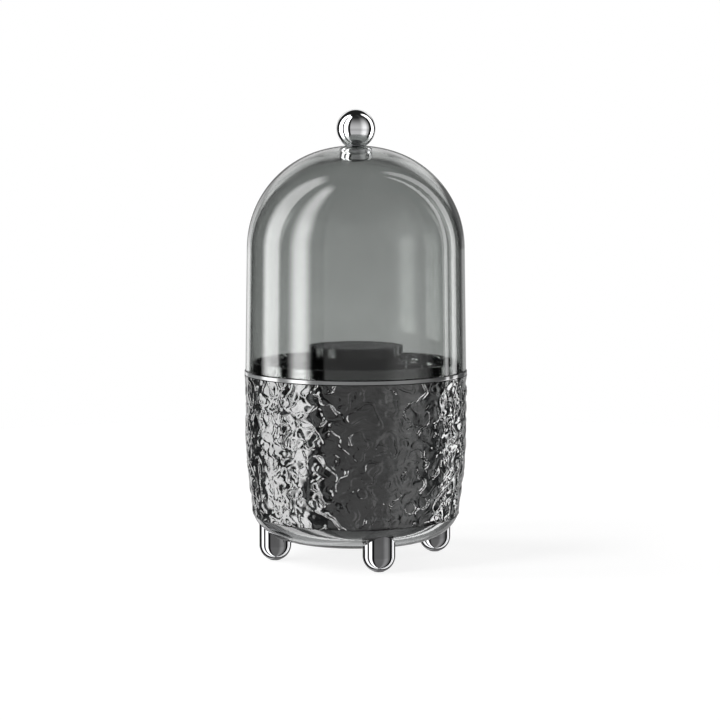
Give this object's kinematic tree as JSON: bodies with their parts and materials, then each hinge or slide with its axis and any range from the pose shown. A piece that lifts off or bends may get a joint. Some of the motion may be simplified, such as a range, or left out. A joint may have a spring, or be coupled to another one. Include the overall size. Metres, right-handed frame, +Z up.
{
  "type": "domed cosmetics organizer",
  "caption": "Round clear countertop organizer: a crinkle-textured drum on bright ball feet, a central brush cup, and a lift-off dome cover with a ball knob.",
  "frame": {"origin": "under the centre of the organizer, on the surface that its feet stand on", "axes": "+Z up to the knob; -Y faces the viewer, with the front foot turned 15.6 degrees from it towards +X; +X to the viewer's right"},
  "size_m": [0.1228, 0.1228, 0.246],
  "materials": {
    "clear_cover": "polished clear smoke-grey plastic",
    "clear_rim": "polished clear smoke-grey plastic",
    "textured_drum": "clear smoke-grey plastic with a crinkled outer face",
    "clear_base": "polished clear smoke-grey plastic",
    "clear_cup": "clear dark smoke-grey plastic",
    "bright_plating": "mirror-bright plating",
    "stud_steel": "plain turned steel",
    "soft_pad": "soft grey pad"
  },
  "bodies": {
    "organizer": {"rim_collar": "clear_rim", "drum_shell": "textured_drum", "base_dish": "clear_base", "foot_front": "bright_plating", "foot_right": "bright_plating", "foot_back": "bright_plating", "foot_left": "bright_plating", "pad_front": "soft_pad", "pad_right": "soft_pad", "pad_back": "soft_pad", "pad_left": "soft_pad"},
    "lid": {"dome_cover": "clear_cover", "knob_ball": "bright_plating", "knob_stud": "stud_steel"},
    "cup": {"brush_cup": "clear_cup"}
  },
  "joints": [
    {"name": "lid_lift", "type": "slide", "parent": "organizer", "child": "lid", "axis": [0, 0, 1], "range_m": [0, 0.15]},
    {"name": "cup_lift", "type": "slide", "parent": "organizer", "child": "cup", "axis": [0, 0, 1], "range_m": [0, 0.094]}
  ]
}
